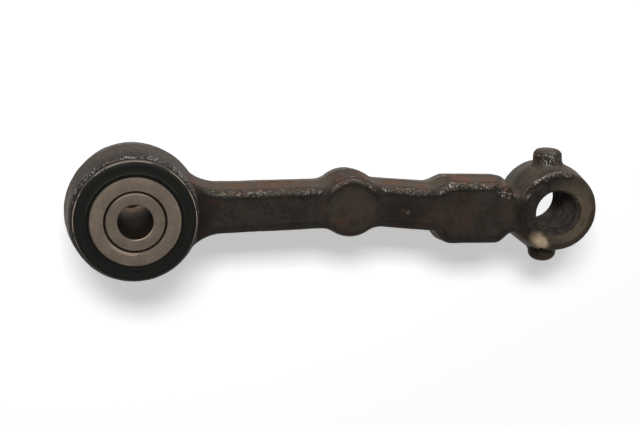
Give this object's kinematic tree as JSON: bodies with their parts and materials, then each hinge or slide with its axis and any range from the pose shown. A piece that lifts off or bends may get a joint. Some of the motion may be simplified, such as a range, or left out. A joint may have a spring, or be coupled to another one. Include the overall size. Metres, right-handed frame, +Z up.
{
  "type": "steering idler arm",
  "caption": "Forged steering idler arm with a rubber-bushed pivot eye, a round boss, a squared pad and a threaded link eye with a lug above and below.",
  "frame": {"origin": "centre of the pivot bush, on the axis of its bore and midway between the faces of the rubber", "axes": "+X runs along the arm to the link eye, +Y along the pivot bore towards the tube's longer end, +Z up as the arm stands on edge on its pivot eye and its lower lug"},
  "size_m": [0.2091, 0.0526, 0.0515],
  "materials": {
    "forging": "dark forging scale, slightly rusted and glossy on its ridges",
    "shell_steel": "thin bright edge, worn",
    "bush_rubber": "matt black moulded rubber",
    "turned_steel": "turned, dull, with small rust specks",
    "liner": "dark, matt"
  },
  "bodies": {
    "arm": {"arm_forging": "forging", "bush_shell": "shell_steel", "bush_rubber": "bush_rubber", "bearing_sleeve": "turned_steel", "slip_liner": "liner"},
    "tube": {"pivot_tube": "turned_steel"}
  },
  "joints": [
    {"name": "pivot_turn", "type": "hinge", "parent": "arm", "child": "tube", "pos_m": [0, 0, 0], "axis": [0, 1, 0], "continuous": true}
  ]
}
